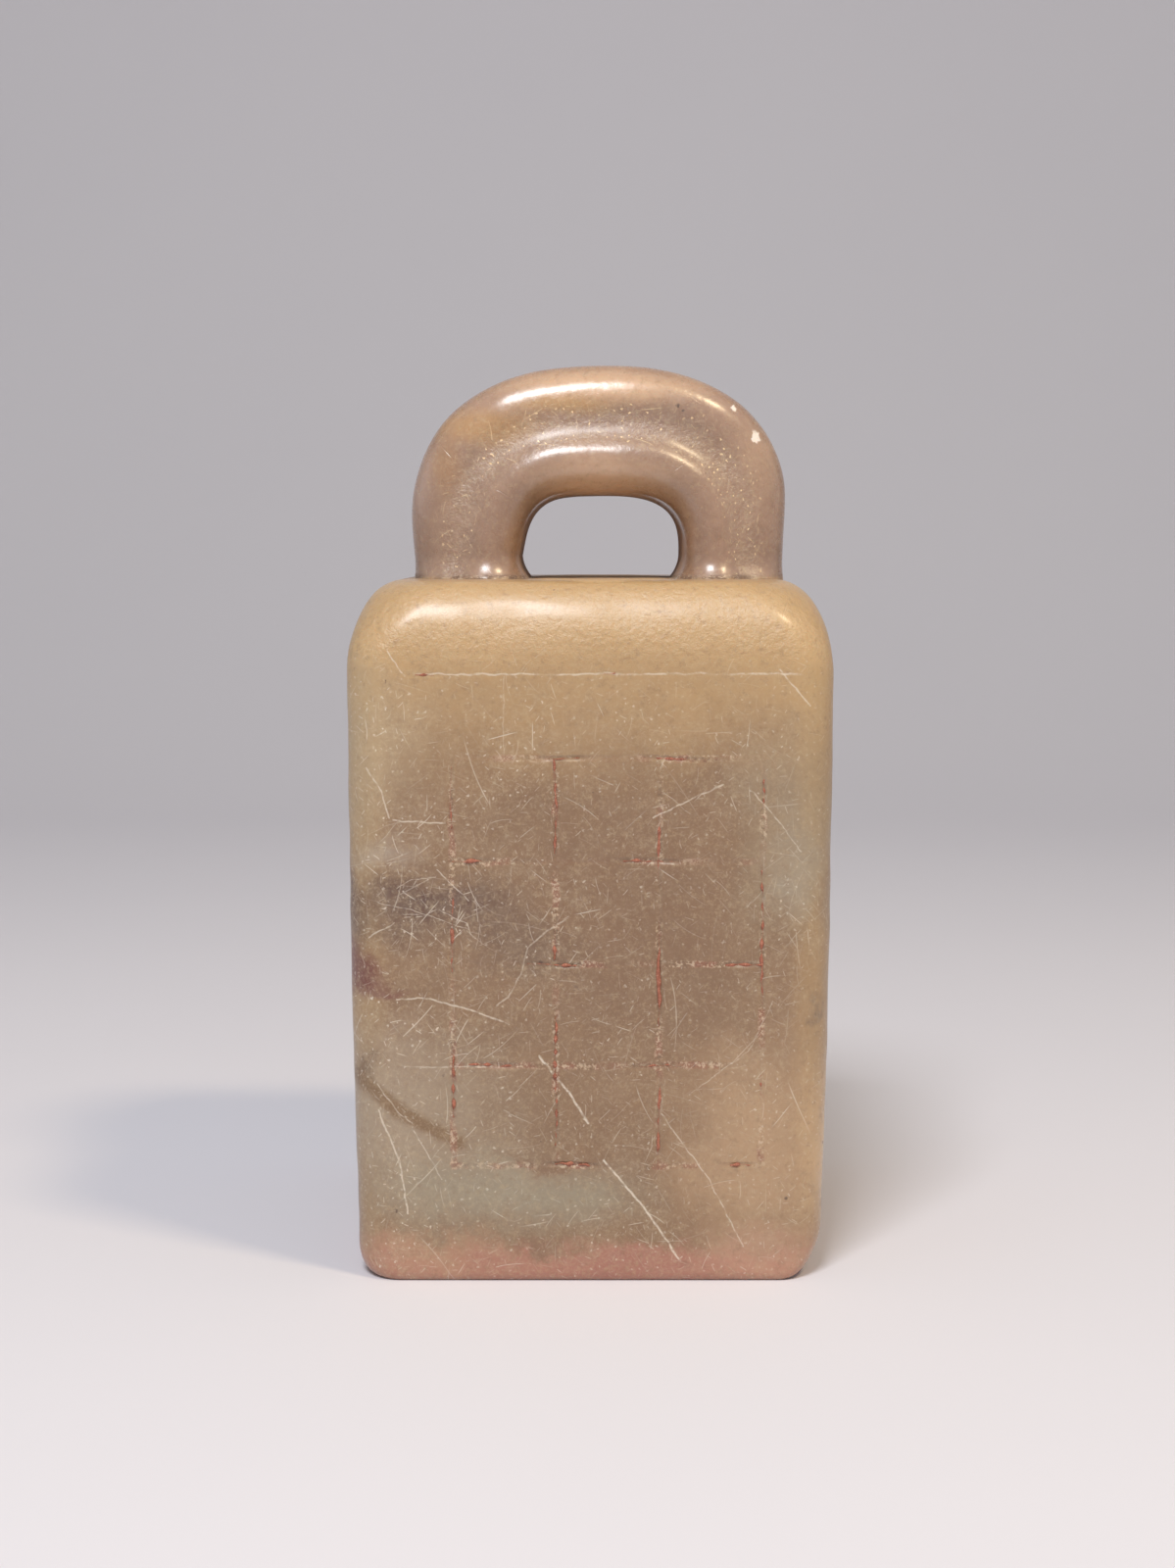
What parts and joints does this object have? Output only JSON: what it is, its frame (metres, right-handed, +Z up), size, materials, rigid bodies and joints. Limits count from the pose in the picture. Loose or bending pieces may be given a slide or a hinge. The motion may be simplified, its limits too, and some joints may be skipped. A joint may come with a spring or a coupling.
{
  "type": "seal stamp",
  "caption": "Square seal stamp carved from soft stone, with an arched loop knob to hold it by, rounded shoulders and a carved printing face.",
  "frame": {"origin": "middle of the printing face, on the surface that the seal stands on", "axes": "+X to the right across the front, +Y from the front to the back, +Z up through the knob"},
  "size_m": [0.0252, 0.0252, 0.0479],
  "materials": {
    "soapstone": "waxy, handled to a soft polish",
    "seal_paste": "dry and matt",
    "red_pigment": "powdery"
  },
  "bodies": {
    "root": {"arch_knob": "soapstone", "seal_body": "soapstone", "seal_face": "soapstone", "face_paste": "seal_paste", "rule_pigment": "red_pigment"}
  },
  "joints": []
}
